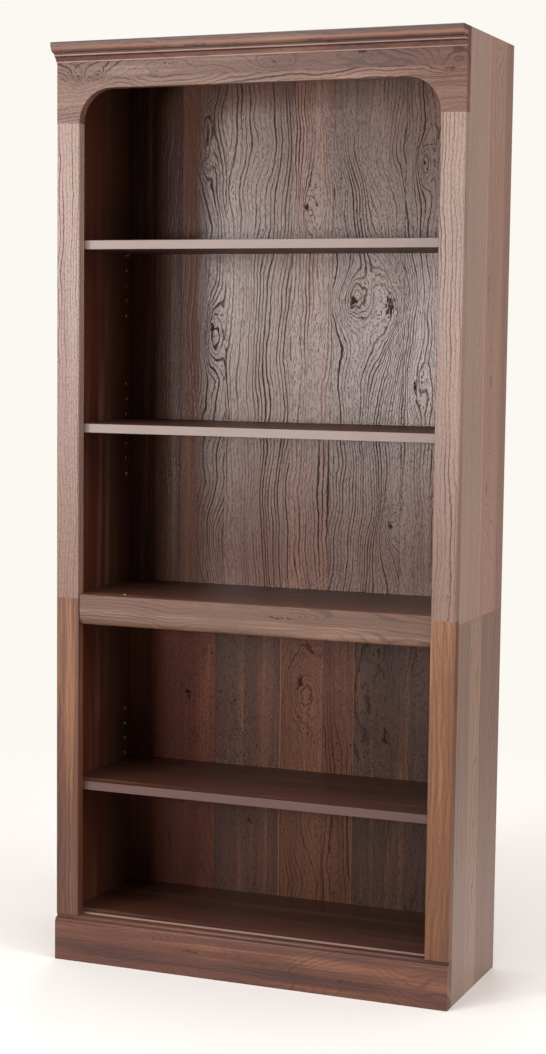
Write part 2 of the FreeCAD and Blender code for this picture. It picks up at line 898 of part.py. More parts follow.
doc.recompute()
for thing in doc.Objects:
    if "Invalid" in thing.State or "Error" in thing.State:
        raise RuntimeError("failed: " + thing.Label + " " + str(thing.State))
for piece in sub_parts:
    if piece.Shape.isNull() or not piece.Shape.isValid() or piece.Shape.Volume <= 0:
        raise RuntimeError("bad shape: " + piece.Label)

os.makedirs("parts", exist_ok=True)
for piece in sub_parts:
    piece.Shape.exportStep("parts/" + piece.Label + ".step")
    box = piece.Shape.BoundBox
    print("%-26s solids %3d  x %8.1f %8.1f  y %8.1f %8.1f  z %8.1f %8.1f" % (
        piece.Label, len(piece.Shape.Solids), box.XMin, box.XMax, box.YMin, box.YMax, box.ZMin, box.ZMax))
print("sub-parts", len(sub_parts))
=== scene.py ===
# %% [markdown]
# # A walnut-effect bookcase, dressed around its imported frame
#
# The real piece is a tall flat-pack bookcase: panels covered in printed walnut laminate, a moulded
# front frame, loose shelves on steel pins and two thin back sheets nailed on behind. Its shapes come
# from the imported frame, so this script adds what a frame cannot hold: the print, its embossed grain,
# edge bands, the rims of the drilled holes, lights and a camera. First the frame is loaded.

# %% Load the frame
import math

import bmesh
import bpy
from mathutils import Matrix, Vector


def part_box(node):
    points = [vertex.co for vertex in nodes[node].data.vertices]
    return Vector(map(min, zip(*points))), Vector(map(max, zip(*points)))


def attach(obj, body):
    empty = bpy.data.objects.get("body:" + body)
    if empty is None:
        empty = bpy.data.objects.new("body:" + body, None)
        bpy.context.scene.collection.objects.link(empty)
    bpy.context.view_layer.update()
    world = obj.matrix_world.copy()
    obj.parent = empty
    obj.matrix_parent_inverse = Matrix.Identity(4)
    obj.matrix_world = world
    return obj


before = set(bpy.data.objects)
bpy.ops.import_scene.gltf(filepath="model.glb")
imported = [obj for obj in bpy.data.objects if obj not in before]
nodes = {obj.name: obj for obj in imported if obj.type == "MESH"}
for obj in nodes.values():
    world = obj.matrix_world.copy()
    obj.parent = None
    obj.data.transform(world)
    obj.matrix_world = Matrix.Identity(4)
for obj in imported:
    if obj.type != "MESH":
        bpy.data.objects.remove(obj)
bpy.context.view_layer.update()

# %% [markdown]
# ## Sizes that the finishes need
#
# A finish that changes at an edge, such as the pale band on a shelf's front, has to know where that
# edge is. The numbers could be typed in, but then they would drift when the frame changes, so they
# are read from the boxes of the nodes.

# %% Measure the frame
MM = 0.001
low_side, high_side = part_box("right_side_upper")
outer_x = high_side.x
inner_x = low_side.x
carcass_front = low_side.y
carcass_rear = high_side.y
back_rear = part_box("back_panel_upper")[1].y
shelf_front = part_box("adjustable_shelf_upper")[0].y
top_height = high_side.z
inner_depth = carcass_rear - carcass_front
print("inner width", round(inner_x * 2 / MM, 1), "mm, inner depth", round(inner_depth / MM, 1), "mm")

# %% [markdown]
# ## Shader arithmetic in plain Python
#
# A printed wood is mostly arithmetic on two coordinates: where a point lies across the grain and
# along it. Each sum would be a Math node, linked by hand. A small class that wraps a socket and
# overloads the operators lets the formula be written as a formula; everything that is not arithmetic
# goes through one method that sets a node's settings and then its sockets.


# %% Wires and finishes
class Wire:
    """A number that varies over a surface."""

    def __init__(self, finish, socket):
        self.finish = finish
        self.socket = socket

    def math(self, operation, *values):
        made = self.finish.node("ShaderNodeMath", {"operation": operation}, dict(enumerate(values)))
        return Wire(self.finish, made.outputs[0])

    def __add__(self, other):
        return self.math("ADD", self, other)

    def __radd__(self, other):
        return self.math("ADD", other, self)

    def __sub__(self, other):
        return self.math("SUBTRACT", self, other)

    def __rsub__(self, other):
        return self.math("SUBTRACT", other, self)

    def __mul__(self, other):
        return self.math("MULTIPLY", self, other)

    def __rmul__(self, other):
        return self.math("MULTIPLY", other, self)

    def __truediv__(self, other):
        return self.math("DIVIDE", self, other)

    def __neg__(self):
        return self.math("MULTIPLY", self, -1.0)

    def __abs__(self):
        return self.math("ABSOLUTE", self)

    def above(self, limit):
        return self.math("GREATER_THAN", self, limit)

    def below(self, limit):
        return self.math("LESS_THAN", self, limit)

    def power(self, exponent):
        return self.math("POWER", self, exponent)

    def largest(self, other):
        return self.math("MAXIMUM", self, other)

    def fraction(self):
        return self.math("FRACT", self)

    def bell(self):
        """e to the minus this value, for a bump that fades with the square of a distance."""
        return self.math("EXPONENT", self * -1.0)

    def ease(self, low, high, bottom=0.0, top=1.0):
        """Rises smoothly from bottom to top while this value goes from low to high."""
        made = self.finish.node(
            "ShaderNodeMapRange",
            {"interpolation_type": "SMOOTHSTEP", "clamp": True},
            {"Value": self, "From Min": low, "From Max": high, "To Min": bottom, "To Max": top},
        )
        return Wire(self.finish, made.outputs["Result"])


class Finish:
    """A material while it is being built."""

    def __init__(self, name):
        self.material = bpy.data.materials.new(name)
        self.material.use_nodes = True
        self.tree = self.material.node_tree
        self.tree.nodes.clear()
        place = self.node("ShaderNodeTexCoord")
        parts = self.node("ShaderNodeSeparateXYZ", sockets={"Vector": place.outputs["Object"]})
        self.x, self.y, self.z = (Wire(self, socket) for socket in parts.outputs)

    def node(self, kind, settings=None, sockets=None):
        made = self.tree.nodes.new(kind)
        for name, value in (settings or {}).items():
            if name == "stops":
                self.fill_ramp(made.color_ramp, value)
            elif name == "spread":
                made.color_ramp.interpolation = value
            else:
                setattr(made, name, value)
        for key, value in (sockets or {}).items():
            self.feed(made.inputs[key], value)
        return made

    def feed(self, socket, value):
        if isinstance(value, Wire):
            self.tree.links.new(value.socket, socket)
        elif isinstance(value, bpy.types.NodeSocket):
            self.tree.links.new(value, socket)
        else:
            socket.default_value = value

    @staticmethod
    def fill_ramp(ramp, stops):
        while len(ramp.elements) < len(stops):
            ramp.elements.new(1.0)
        for element, (place, colour) in zip(ramp.elements, sorted(stops, key=lambda stop: stop[0])):
            element.position = place
            element.color = colour

    def noise(self, across, along, depth=0.0, detail=2.0, rough=0.5):
        """Smooth noise whose three coordinates are given already scaled."""
        place = self.node("ShaderNodeCombineXYZ", sockets={"X": across, "Y": along, "Z": depth})
        made = self.node(
            "ShaderNodeTexNoise",
            {"noise_dimensions": "3D", "normalize": True},
            {"Vector": place.outputs[0], "Scale": 1.0, "Detail": detail, "Roughness": rough},
        )
        return Wire(self, made.outputs[0])

    def mix(self, amount, first, second, blend="MIX"):
        """One colour laid over another; amount is a number or a wire."""
        made = self.node("ShaderNodeMix", {"data_type": "RGBA", "blend_type": blend})
        self.feed(made.inputs[0], amount)
        self.feed(made.inputs[6], first)
        self.feed(made.inputs[7], second)
        return made.outputs[2]

    def surface(self, colour, roughness, bump=None, bump_mm=0.3, **constants):
        """The closing shader. Constants go straight on its sockets."""
        shader = self.node("ShaderNodeBsdfPrincipled", sockets={"Base Color": colour, "Roughness": roughness})
        for name, value in constants.items():
            shader.inputs[name.replace("_", " ")].default_value = value
        if bump is not None:
            heights = {"Height": bump, "Distance": bump_mm * MM, "Strength": 1.0}
            relief = self.node("ShaderNodeBump", sockets=heights)
            self.tree.links.new(relief.outputs[0], shader.inputs["Normal"])
        self.node("ShaderNodeOutputMaterial", sockets={"Surface": shader.outputs[0]})
        return self.material


def rgb(red, green, blue):
    """A colour given in the usual 0 to 255 steps, made linear."""
    linear = []
    for step in (red, green, blue):
        share = step / 255
        linear.append(share / 12.92 if share <= 0.04045 else ((share + 0.055) / 1.055) ** 2.4)
    return (*linear, 1.0)


# %% [markdown]
# ## The walnut print
#
# Printed walnut is laid out as planks side by side. Inside one plank the growth rings show as dark
# broken lines that run along the grain, wander, and close into loops round a knot. Drawing each line
# would be hopeless; instead the lines are the contours of one smooth height field. Across the plank
# the field rises steadily, which gives straight grain; slow noise bends it, which gives arches; and a
# bell-shaped bump at a knot closes the contours round it. Fine noise then breaks the contours into
# dashes, and still finer noise makes the pores between them.


# %% The print as a function
SPAN = 0.43


def plank_ramps(finish, across, planks):
    """Two stepped ramps: the colour of each plank, and its character.

    A plank is (left edge in mm, colour, seed, wander, line strength).
    """
    colour_stops = []
    character_stops = []
    for left, colour, seed, wander, lines in planks:
        place = min(max((left * MM + SPAN) / (2 * SPAN), 0.0), 1.0)
        colour_stops.append((place, rgb(*colour)))
        character_stops.append((place, (seed, wander, lines, 1.0)))
    share = (across + SPAN) * (1 / (2 * SPAN))
    tint = finish.node("ShaderNodeValToRGB", {"spread": "CONSTANT", "stops": colour_stops}, {"Fac": share})
    kind = finish.node("ShaderNodeValToRGB", {"spread": "CONSTANT", "stops": character_stops}, {"Fac": share})
    split = finish.node("ShaderNodeSeparateColor", sockets={"Color": kind.outputs[0]})
    return tint.outputs[0], [Wire(finish, socket) for socket in split.outputs]


def walnut(finish, across, along, planks, knots=(), spacing=9.0, bend=5.0, width=0.10, dashes=0.75,
           ink=(44, 26, 20), contrast=0.16, pore=0.35, offset=0.0, growth=0.25, sparks=(222, 186, 158)):
    """Colour, line mask, pore mask and fibre of a walnut print.

    spacing is the mean distance between growth rings in mm, bend how many rings the slow noise
    shifts, width the half width of a strong line as a share of the spacing, dashes how broken the
    weak lines are, and growth how much the wood darkens towards each line. A knot is (across mm,
    along mm, half width mm, half length mm, rings).
    """
    tint, (seed, wander, lines) = plank_ramps(finish, across, planks)
    shift = seed * 23.0 + offset
    slow = finish.noise(across * 3.2, along * 1.4 + shift, shift, 1.0) - 0.5
    quick = finish.noise(across * 22.0, along * 9.0 + shift, shift, 1.0) - 0.5
    shiver = finish.noise(across * 90.0, along * 55.0 + shift, shift, 1.0) - 0.5
    crowd = finish.noise(across * 16.0 + shift, along * 0.55 + shift, shift, 1.0) - 0.5
    sway = finish.noise(across * 5.0, along * 5.0 + shift, shift + 1.0, 1.0) - 0.5
    field = (across * (1000.0 / spacing) + slow * wander * (bend * 4.0)
             + sway * wander * (bend * 1.8) + crowd * 4.0)
    heart = None
    unrest = None
    for knot_across, knot_along, half_width, half_length, rings in knots:
        side = (across - knot_across * MM) * (1000.0 / half_width)
        rise = (along - knot_along * MM) * (1000.0 / half_length)
        away = side * side + rise * rise
        lift = away.bell()
        field = field + lift * rings
        unrest = lift if unrest is None else unrest.largest(lift)
        ragged = finish.noise(across * 190.0, along * 90.0, shift, 2.0)
        eye = (away * 26.0 + (ragged - 0.5) * 7.0).ease(0.0, 0.9, 1.0, 0.0)
        heart = eye if heart is None else heart.largest(eye)
    if unrest is None:
        field = field + quick * 2.0 + shiver * 0.55
    else:
        field = field + quick * (unrest * 5.0 + 2.0) + shiver * (unrest * 1.6 + 0.55)
    part = field.fraction()
    ring = field - part
    own = finish.noise(ring * 3.7, along * 2.2, shift + 4.0, 1.0).ease(0.36, 0.64)
    half = (own * 0.8 + 0.3) * width
    line = abs(part - 0.5).ease(half * 0.35, half, 1.0, 0.0)
    broken = finish.noise(across * 420.0, along * 210.0, shift, 1.0).ease(0.45, 0.53)
    faded = finish.noise(across * 11.0, along * 2.4, shift + 6.0, 2.0).ease(0.38, 0.56, 0.28, 1.0)
    mask = line * (1.0 - (1.0 - broken) * (1.0 - own * 0.8) * dashes) * faded * (own * 0.5 + 0.5) * lines
    thin = abs((field * 3.0 + shiver * 2.0).fraction() - 0.5).ease(0.06, 0.2, 1.0, 0.0)
    specks = finish.noise(across * 650.0, along * 120.0, shift + 3.0, 1.0).ease(0.50, 0.60)
    pores = thin * specks * pore
    late = part.ease(0.0, 0.5) * part.below(0.5) * lines
    fibre = finish.noise(across * 170.0, along * 3.2, shift + 9.0, 3.0, 0.6)
    bands = finish.noise(across * 30.0, along * 1.1, shift + 2.0, 2.0)
    cloud = finish.noise(across * 9.0, along * 5.0, shift + 5.0, 2.0)
    shade = (fibre - 0.5) * (contrast * 2.0) + (bands - 0.5) * (contrast * 3.0) + (cloud - 0.5) * contrast
    dark = finish.mix((0.0 - shade).ease(0.0, 0.34, 0.0, 0.75), tint, rgb(*ink))
    light = finish.mix(shade.ease(0.0, 0.34, 0.0, 0.28), dark, rgb(*sparks))
    grown = finish.mix(late * growth, light, rgb(*ink))
    pored = finish.mix(pores, grown, rgb(*ink))
    lined = finish.mix(mask, pored, rgb(*ink))
    if heart is not None:
        mask = mask.largest(heart)
        lined = finish.mix(heart * 0.85, lined, rgb(*ink))
    return lined, mask, pores, fibre


# %% [markdown]
# ## The two back sheets
#
# The upper sheet is printed and embossed: its dark growth lines are pressed in, so they stay dull
# while the flats between them shine. The lower sheet has a calmer, redder print. Each gets its own
# table of planks, as the printer's cylinder has. Behind, both are bare brown board.

# %% Back sheets
# The leftmost planks of the upper sheet are dark partly by their print and partly as painted shade from the
# left side's shadow in that corner.
UPPER_BACK_PLANKS = [
    (-430, (72, 38, 26), 0.11, 0.5, 0.35),
    (-366, (84, 46, 32), 0.37, 0.7, 0.4),
    (-291, (116, 70, 48), 0.71, 0.4, 0.4),
    (-254, (104, 66, 51), 0.23, 1.1, 0.9),
    (-190, (108, 68, 52), 0.53, 0.7, 1.0),
    (-43, (126, 84, 66), 0.89, 0.7, 0.95),
    (50, (117, 83, 70), 0.41, 1.0, 0.95),
    (202, (116, 79, 64), 0.67, 0.9, 1.0),
    (272, (123, 82, 65), 0.19, 0.9, 1.0),
]
UPPER_BACK_KNOTS = [
    (-219, 1302, 20, 80, 5.0),
    (-236, 1690, 12, 60, 3.0),
    (-8, 1560, 18, 60, 4.5),
    (96, 1366, 34, 50, 6.0),
    (176, 1352, 44, 110, -8.0),
    (184, 906, 20, 60, 5.5),
    (232, 1190, 16, 50, 4.0),
    (244, 1640, 14, 40, 5.0),
    (300, 930, 26, 50, 5.0),
    (306, 1612, 20, 46, 5.0),
]
LOWER_BACK_PLANKS = [
    (-430, (80, 38, 24), 0.13, 0.4, 0.2),
    (-359, (94, 42, 25), 0.61, 0.7, 0.25),
    (-205, (74, 41, 27), 0.29, 0.6, 0.2),
    (-52, (104, 60, 38), 0.83, 1.0, 0.5),
    (43, (92, 49, 31), 0.47, 0.3, 0.7),
    (110, (68, 40, 29), 0.07, 0.4, 0.4),
    (273, (76, 43, 28), 0.93, 0.6, 0.3),
]
LOWER_BACK_KNOTS = [
    (-268, 520, 40, 60, 3.0),
    (-10, 560, 34, 90, 5.0),
    (-120, 260, 26, 60, 3.0),
    (180, 470, 30, 120, -4.0),
]


def seam(across, place, half=1.6):
    """A thin line along the grain at a place given in mm."""
    return abs(across - place * MM).ease(half * 0.4 * MM, half * MM, 1.0, 0.0)


def lay_seams(finish, colour, across, seams):
    """Thin lines over a colour: printed seams, and painted light on the crown. A seam is (place mm, colour,
    strength, half width mm).
    """
    for place, tone, strength, half in seams:
        colour = finish.mix(seam(across, place, half) * strength, colour, rgb(*tone))
    return colour


def bare_board(finish, tint, front_colour, front_rough, behind):
    """Lays bare fibreboard over the face that looks backwards."""
    speckle = finish.noise(finish.x * 900.0, finish.z * 900.0, finish.y * 900.0, 2.0)
    cloud = finish.noise(finish.x * 7.0, finish.z * 7.0, 0.0, 2.0)
    board = finish.mix(speckle.ease(0.35, 0.7), rgb(*tint), rgb(150, 118, 86))
    board = finish.mix(cloud.ease(0.4, 0.7, 0.0, 0.35), board, rgb(104, 80, 60))
    colour = finish.mix(behind, front_colour, board)
    return colour, front_rough * (1.0 - behind) + behind * 0.85


def back_finish(name, planks, knots, spacing, gloss, shine, width, dashes, ink, contrast, sparks, foot_shade, seams):
    finish = Finish(name)
    colour, mask, pores, fibre = walnut(
        finish, finish.x, finish.z, planks, knots, spacing=spacing, width=width, dashes=dashes,
        ink=ink, contrast=contrast, sparks=sparks, pore=0.95)
    colour = lay_seams(finish, colour, finish.x + (fibre - 0.5) * 2 * MM, seams)
    # Painted shade: the sheet darkens towards its bottom, where less light reaches.
    if foot_shade:
        colour = finish.mix(finish.z.ease(0.1, 0.5, foot_shade, 0.0), colour, rgb(*ink))
    behind = finish.y.above(back_rear - 1 * MM)
    rough = mask * 0.55 + pores * 0.3 + fibre * 0.12 + gloss
    colour, rough = bare_board(finish, (128, 98, 70), colour, rough, behind)
    relief = (mask + pores * 0.4) * -1.0 * (1.0 - behind)
    return finish.surface(colour, rough, relief, 0.5, Specular_IOR_Level=shine)


upper_back = back_finish("back_upper_print", UPPER_BACK_PLANKS, UPPER_BACK_KNOTS, 7.4, 0.21, 0.35, 0.19, 0.85,
                         (34, 17, 12), 0.18, (222, 186, 158), 0.0,
                         [(-291, (60, 34, 24), 0.5, 1.6), (-190, (52, 32, 26), 0.6, 2.0),
                          (-43, (70, 42, 32), 0.5, 1.6), (50, (56, 36, 30), 0.7, 2.0),
                          (205, (44, 26, 20), 0.7, 2.2), (272, (70, 44, 34), 0.4, 1.6)])
# The lower sheet carries painted shade towards its bottom, 0.22 at the most.
lower_back = back_finish("back_lower_print", LOWER_BACK_PLANKS, LOWER_BACK_KNOTS, 14.0, 0.40, 0.25, 0.2, 0.3,
                         (36, 20, 14), 0.24, (168, 108, 70), 0.22,
                         [(-359, (48, 24, 16), 0.5, 2.0), (-203, (46, 26, 20), 0.6, 2.0),
                          (-54, (150, 98, 66), 0.55, 1.8), (43, (52, 28, 20), 0.6, 2.0),
                          (110, (132, 88, 62), 0.5, 1.6), (273, (44, 26, 20), 0.5, 2.0)])

# %% [markdown]
# ## Side panels
#
# Outside, the sides carry a calm grey-brown print with one pale seam; inside, a darker one: red-brown
# at the front and almost black behind. The drilled holes go through the print into the pale chipboard
# core, which is why they show as light dots. All of it is one panel, so one material picks the print
# by where a point lies in the thickness.

# %% Sides
OUTER_UPPER_PLANKS = [
    (-430, (146, 119, 107), 0.21, 0.5, 0.35),
    (7, (145, 113, 99), 0.57, 0.8, 0.4),
    (120, (132, 101, 89), 0.77, 0.5, 0.35),
]
OUTER_LOWER_PLANKS = [
    (-430, (126, 101, 89), 0.31, 0.4, 0.5),
    (-37, (138, 110, 94), 0.51, 0.7, 0.6),
    (30, (122, 96, 84), 0.91, 0.5, 0.6),
]
INNER_PLANKS = [
    (-430, (74, 34, 20), 0.17, 0.4, 0.2),
    (39, (72, 42, 28), 0.63, 0.5, 0.2),
]


def side_finish(name, outer_planks, seams):
    finish = Finish(name)
    outer, outer_mask, pores, fibre = walnut(
        finish, finish.y, finish.z, outer_planks, [(60, 1210, 26, 60, 2.5), (44, 1000, 30, 70, 3.0)],
        spacing=13.0, width=0.16, dashes=0.6, ink=(66, 48, 42), contrast=0.10, offset=3.0)
    outer = lay_seams(finish, outer, finish.y, seams)
    inner, inner_mask, _, _ = walnut(
        finish, finish.y, finish.z, INNER_PLANKS, spacing=12.0, width=0.2, dashes=0.3,
        ink=(22, 13, 10), contrast=0.16, offset=8.0)
    reach = abs(finish.x)
    outside = reach.above((outer_x + inner_x) / 2)
    core = reach.above(inner_x + 0.25 * MM) * reach.below(outer_x - 0.25 * MM)
    core = core * finish.y.below(carcass_rear - 1 * MM) * finish.z.below(top_height - 1 * MM)
    colour = finish.mix(outside, inner, outer)
    chip = finish.noise(finish.x * 800.0, finish.z * 800.0, finish.y * 800.0, 2.0)
    chipboard = finish.mix(chip.ease(0.35, 0.65), rgb(176, 142, 100), rgb(214, 186, 146))
    colour = finish.mix(core, colour, chipboard)
    mask = outer_mask * outside + inner_mask * (1.0 - outside)
    rough = fibre * 0.15 + mask * 0.2 + core * 0.3 + 0.38
    return finish.surface(colour, rough, (mask + pores * 0.4) * -1.0, 0.25, Specular_IOR_Level=0.4)


upper_side = side_finish("side_upper_laminate", OUTER_UPPER_PLANKS,
                         [(7, (196, 160, 132), 0.6, 1.6), (150, (92, 62, 52), 0.4, 1.6)])
lower_side = side_finish("side_lower_laminate", OUTER_LOWER_PLANKS,
                         [(-37, (176, 142, 116), 0.5, 1.6), (29.5, (176, 142, 116), 0.5, 1.6),
                          (142, (120, 62, 46), 0.5, 1.6)])

# %% [markdown]
# ## The front frame
#
# Stiles, header, crown, rail and base are wrapped in foil. On the uprights the grain runs up, on the
# rest it runs across, and round a moulding it follows the surface. Adding the depth to the coordinate
# across the grain carries the print round an edge without a seam, which is what wrapped foil does.

# %% Frame finishes
STILE_UPPER_PLANKS = [
    (-430, (153, 126, 114), 0.35, 0.25, 0.95),
    (0, (150, 124, 111), 0.65, 0.3, 0.95),
]
STILE_LOWER_PLANKS = [
    (-430, (92, 55, 37), 0.15, 0.25, 0.6),
    (0, (109, 67, 38), 0.85, 0.3, 0.65),
]


def wrapped_finish(name, upright, planks, knots=(), spacing=7.0, width=0.2, dashes=0.6, ink=(74, 50, 40),
                   contrast=0.14, bend=4.0, offset=0.0, gloss=0.36, centre=0.0, pore=0.35, darker_along=None,
                   sparks=(222, 186, 158), growth=0.25, light_and_print_lines=()):
    finish = Finish(name)
    wrap = finish.y * 0.9
    across = finish.x + wrap if upright else finish.z + wrap - centre
    along = finish.z if upright else finish.x
    colour, mask, pores, fibre = walnut(
        finish, across, along, planks, knots, spacing=spacing, width=width, dashes=dashes, ink=ink,
        contrast=contrast, bend=bend, offset=offset, pore=pore, sparks=sparks, growth=growth)
    # Darkens the print between two places along the grain; on the upper stiles this is painted shade towards
    # their lower end.
    if darker_along:
        colour = finish.mix(along.ease(*darker_along), colour, rgb(96, 54, 36))
    # Horizontal lines at given heights: on the crown painted highlights on the bead and fillets and painted
    # shade in the quirks and on the top roundover; on the header one dark line.
    colour = lay_seams(finish, colour, finish.z, light_and_print_lines)
    rough = fibre * 0.15 + mask * 0.25 + gloss
    return finish.surface(colour, rough, (mask + pores * 0.4) * -1.0, 0.35, Specular_IOR_Level=0.45)


# The upper stiles carry painted shade towards their lower end, where less light falls.
stile_upper = wrapped_finish("stile_upper_foil", True, STILE_UPPER_PLANKS, spacing=7.0, width=0.14, dashes=0.9,
                             ink=(66, 42, 34), contrast=0.2, pore=0.75, offset=1.0,
                             darker_along=(0.76, 1.6, 0.52, 0.0))
stile_lower = wrapped_finish("stile_lower_foil", True, STILE_LOWER_PLANKS, spacing=10.0, width=0.2, dashes=0.3,
                             ink=(52, 26, 16), contrast=0.36, sparks=(214, 146, 92), growth=0.4, offset=2.0)
header_centre = 1.66
header_finish = wrapped_finish(
    "header_foil", False, [(-430, (118, 83, 68), 0.25, 0.8, 0.9), (5, (102, 66, 52), 0.75, 0.9, 0.9)],
    [(10, -377, 16, 20, 4.0), (12, -334, 10, 14, 3.0), (30, -180, 14, 60, -4.0), (24, 40, 12, 40, 4.0),
     (0, 396, 26, 60, 6.0), (36, 220, 12, 50, -3.0)], spacing=9.0, width=0.21, dashes=0.7, contrast=0.3,
    ink=(42, 24, 18), bend=8.0, centre=header_centre, offset=5.0, pore=0.6,
    darker_along=(0.24, 0.40, 0.0, 0.5), light_and_print_lines=[(1796, (66, 42, 34), 0.5, 1.2)])
crown_finish = wrapped_finish(
    "crown_foil", False, [(-430, (104, 68, 56), 0.45, 0.4, 0.5)], spacing=10.0, dashes=0.4,
    contrast=0.3, centre=1.7, offset=6.0, ink=(48, 26, 20),
    # Painted light on the crown: painted shade on the top roundover and in the two quirks, painted highlights
    # on the bead and the fillets.
    light_and_print_lines=[(1862.5, (72, 56, 52), 0.7, 5.5), (1853, (176, 132, 112), 0.45, 4.0),
           (1844.5, (40, 16, 12), 0.8, 2.6), (1841.4, (186, 142, 122), 0.6, 1.8),
           (1838.7, (40, 16, 12), 0.8, 1.6), (1829.2, (186, 148, 130), 0.6, 1.4)])
rail_finish = wrapped_finish(
    "rail_foil", False, [(-430, (98, 64, 45), 0.55, 0.9, 0.5)], [(6, 60, 16, 150, 5.0)], spacing=9.0,
    dashes=0.2, width=0.26, contrast=0.26, centre=0.61, offset=7.0, ink=(62, 36, 26), growth=0.4)
base_finish = wrapped_finish(
    "base_foil", False, [(-430, (90, 50, 36), 0.95, 1.0, 0.5)],
    [(6, -120, 20, 120, 4.0), (-14, 210, 16, 90, -4.0)],
    spacing=12.0, dashes=0.2, width=0.2, contrast=0.38, centre=-0.09, offset=9.0, ink=(46, 22, 16), growth=0.5,
    bend=7.0, sparks=(178, 118, 88))

# %% [markdown]
# ## Shelves
#
# The faces of the shelves carry a dark, quiet print with the grain running left to right. The front
# edge is closed by a plain pinkish-brown band with no grain in it. The band is only as deep as its
# glue line, so the material switches to it in the last half millimetre.

# %% Shelf finishes


def shelf_finish(name, band_colour, band_front, face=(75, 43, 32)):
    finish = Finish(name)
    colour, mask, pores, fibre = walnut(
        finish, finish.y, finish.x, [(-430, face, 0.33, 0.6, 0.3)], spacing=15.0, width=0.25,
        dashes=0.2, ink=(40, 24, 18), contrast=0.14, offset=12.0)
    band = finish.y.below(band_front + 0.5 * MM)
    blotch = finish.noise(finish.x * 14.0, finish.z * 60.0, 0.0, 2.0)
    darker = rgb(*(step * 0.9 for step in band_colour))
    plain = finish.mix(blotch.ease(0.3, 0.7, 0.0, 0.25), rgb(*band_colour), darker)
    colour = finish.mix(band, colour, plain)
    rough = fibre * 0.15 + (1.0 - band) * 0.34 + band * 0.38
    return finish.surface(colour, rough, mask * (1.0 - band) * -1.0, 0.15, Specular_IOR_Level=0.4)


upper_shelf = shelf_finish("shelf_upper_laminate", (136, 118, 111), shelf_front)
lower_shelf = shelf_finish("shelf_lower_laminate", (88, 61, 54), shelf_front)
fixed_finish = shelf_finish("fixed_panel_laminate", (150, 124, 112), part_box("bottom_panel")[0].y)

# %% [markdown]
# ## Fittings
#
# The metal and wooden fittings are small, but close views and the underside show them. Plated steel,
# die-cast zinc, beech and moulded plastic each get their own surface: fine turning marks, casting
# grain, wood fibre, and a faint mottling.

# %% Fitting finishes


def metal_finish(name, colour, rough, scale):
    finish = Finish(name)
    marks = finish.noise(finish.x * scale, finish.y * scale * 0.2, finish.z * scale, 2.0)
    tone = finish.mix(marks.ease(0.3, 0.7), rgb(*colour), rgb(*(step * 0.82 for step in colour)))
    return finish.surface(tone, marks * 0.2 + rough, marks, 0.02, Metallic=1.0)


pin_steel = metal_finish("pin_steel_plated", (214, 212, 206), 0.22, 2600.0)
zinc = metal_finish("zinc_cast", (150, 150, 150), 0.42, 1500.0)
fitting_steel = metal_finish("fitting_steel_plated", (196, 192, 180), 0.28, 2000.0)


def plain_finish(name, colour, darker, rough, stretch):
    finish = Finish(name)
    fibre = finish.noise(finish.x * 600.0, finish.y * 600.0, finish.z * stretch, 3.0)
    tone = finish.mix(fibre.ease(0.35, 0.65), rgb(*colour), rgb(*darker))
    return finish.surface(tone, fibre * 0.15 + rough, fibre, 0.05)


beech = plain_finish("beech_dowel", (206, 170, 124), (184, 146, 100), 0.6, 60.0)
pale_plastic = plain_finish("pale_plastic_cap", (240, 236, 226), (228, 222, 210), 0.35, 600.0)

# %% Put each finish on its node
FINISHES = {
    "back_panel_upper": upper_back,
    "back_panel_lower": lower_back,
    "left_side_upper": upper_side,
    "right_side_upper": upper_side,
    "left_side_lower": lower_side,
    "right_side_lower": lower_side,
    "left_stile_upper": stile_upper,
    "right_stile_upper": stile_upper,
    "left_stile_lower": stile_lower,
    "right_stile_lower": stile_lower,
    "header_board": header_finish,
    "crown_moulding": crown_finish,
    "fixed_shelf_rail": rail_finish,
    "base_board": base_finish,
    "adjustable_shelf_upper": upper_shelf,
    "adjustable_shelf_middle": upper_shelf,
    "adjustable_shelf_lower": lower_shelf,
    "fixed_shelf": fixed_finish,
    "bottom_panel": fixed_finish,
    "top_panel": fixed_finish,
    "cam_locks": zinc,
    "cam_bolts": fitting_steel,
    "crown_screws": fitting_steel,
    "back_nails": fitting_steel,
    "joint_dowels": beech,
    "frame_dowels": beech,
    "shelf_cap": pale_plastic,
}
for name, node in nodes.items():
    finish = FINISHES.get(name, pin_steel)
    node.data.materials.clear()
    node.data.materials.append(finish)
    print("finish of", name, "is", finish.name)

# %% [markdown]
# ## Rims of the empty pin holes
#
# A drill pushes a thin collar of chipped board out of the laminate, so each empty hole shows as a
# small light ring. The rings repeat in columns, which is what Geometry Nodes is for: one ring is swept
# once and set on a list of points. The points come from the pins' own boxes and the drilling pitch,
# and the hole that holds a pin is skipped, because the pin's collar covers its rim.

# %% Points for the rims
HOLE_PITCH = 32 * MM
RIM_INNER = 2.75 * MM
RIM_OUTER = 3.5 * MM
RIM_PROUD = 0.12 * MM
GROUPS = {"upper": range(-4, 1), "middle": range(-3, 4), "lower": range(0, 5)}
front_row, rear_row = carcass_front + 37 * MM, carcass_rear - 30 * MM
rim_points = []
for level, steps in GROUPS.items():
    low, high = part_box("shelf_pins_" + level + "_left")
    stem_height = high.z - 4 * MM
    for side in (-1, 1):
        for row in (front_row, rear_row):
            for step in steps:
                if step:
                    rim_points.append((side * (inner_x - RIM_PROUD / 2), row, stem_height + step * HOLE_PITCH))
print("rims", len(rim_points), "pins' stems at", round(stem_height / MM, 1), "mm in the lowest group")

# %% Rings on the points
rim_finish = Finish("hole_rim_chipped")
flake = rim_finish.noise(rim_finish.x * 900.0, rim_finish.y * 900.0, rim_finish.z * 900.0, 2.0)
rim_tone = rim_finish.mix(flake.ease(0.35, 0.65), rgb(188, 152, 108), rgb(222, 194, 152))
rim_material = rim_finish.surface(rim_tone, flake * 0.2 + 0.6, flake, 0.04)

